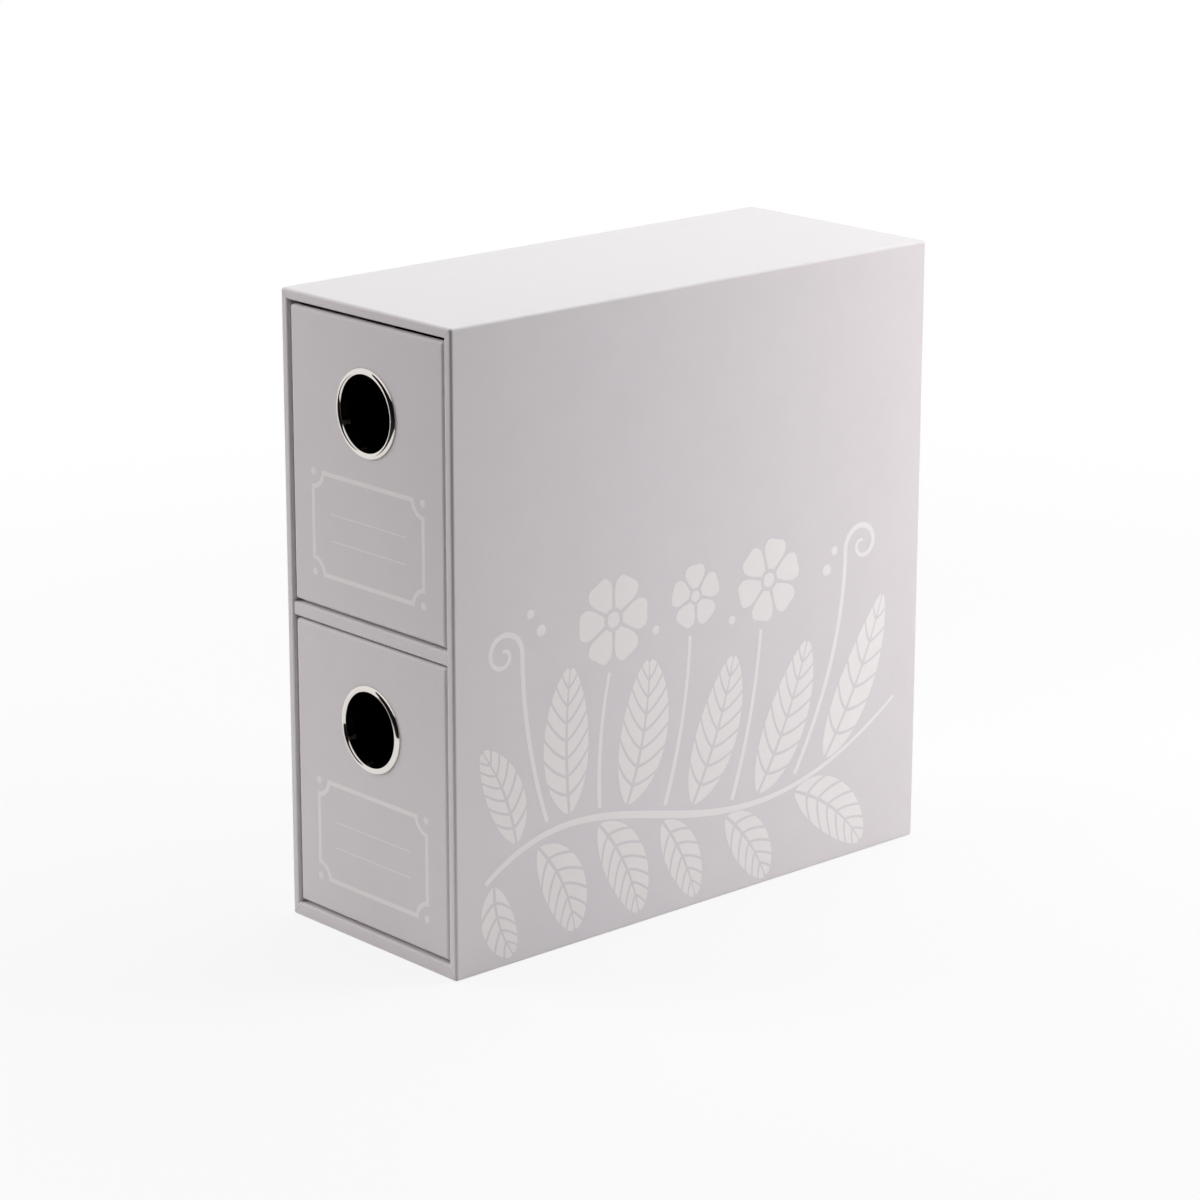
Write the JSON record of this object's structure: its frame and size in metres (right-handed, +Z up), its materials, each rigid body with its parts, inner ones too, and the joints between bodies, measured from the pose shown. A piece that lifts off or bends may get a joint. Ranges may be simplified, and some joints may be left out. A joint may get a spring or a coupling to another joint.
{
  "type": "playing card box with drawers",
  "caption": "Upright rectangular box for sleeved playing cards: a paper-wrapped board case with a shelf, and stacked drawers that slide out by round metal finger rings.",
  "frame": {"origin": "under the middle of the box on the surface it stands on; the middle of its length is taken from the rings' beads to the back", "axes": "+Z up, -Y out of the drawers' fronts, +X to the right hand of a person facing the drawers"},
  "size_m": [0.095, 0.2376, 0.24],
  "materials": {
    "grey_board": "raw grey board, inside the papers",
    "printed_wrap": "satin-coated pale grey printed paper",
    "black_liner": "matt black uncoated paper",
    "chrome_ring": "bright plated",
    "plated_washer": "dull plated"
  },
  "bodies": {
    "case": {"case_base_board": "grey_board", "case_top_board": "grey_board", "case_left_board": "grey_board", "case_right_board": "grey_board", "case_back_board": "grey_board", "case_outer_wrap": "printed_wrap", "case_liner": "black_liner", "case_base_sheet": "black_liner", "shelf_board": "grey_board", "shelf_front_wrap": "printed_wrap", "shelf_top_liner": "black_liner", "shelf_bottom_liner": "black_liner"},
    "lower_drawer": {"lower_drawer_front_board": "grey_board", "lower_drawer_back_board": "grey_board", "lower_drawer_floor_board": "grey_board", "lower_drawer_left_board": "grey_board", "lower_drawer_right_board": "grey_board", "lower_drawer_wrap": "printed_wrap", "lower_drawer_liner": "black_liner", "lower_drawer_finger_ring": "chrome_ring", "lower_drawer_ring_washer": "plated_washer"},
    "upper_drawer": {"upper_drawer_front_board": "grey_board", "upper_drawer_back_board": "grey_board", "upper_drawer_floor_board": "grey_board", "upper_drawer_left_board": "grey_board", "upper_drawer_right_board": "grey_board", "upper_drawer_wrap": "printed_wrap", "upper_drawer_liner": "black_liner", "upper_drawer_finger_ring": "chrome_ring", "upper_drawer_ring_washer": "plated_washer"}
  },
  "joints": [
    {"name": "lower_drawer_slide", "type": "slide", "parent": "case", "child": "lower_drawer", "axis": [0, -1, 0], "range_m": [0, 0.22]},
    {"name": "upper_drawer_slide", "type": "slide", "parent": "case", "child": "upper_drawer", "axis": [0, -1, 0], "range_m": [0, 0.22]}
  ]
}
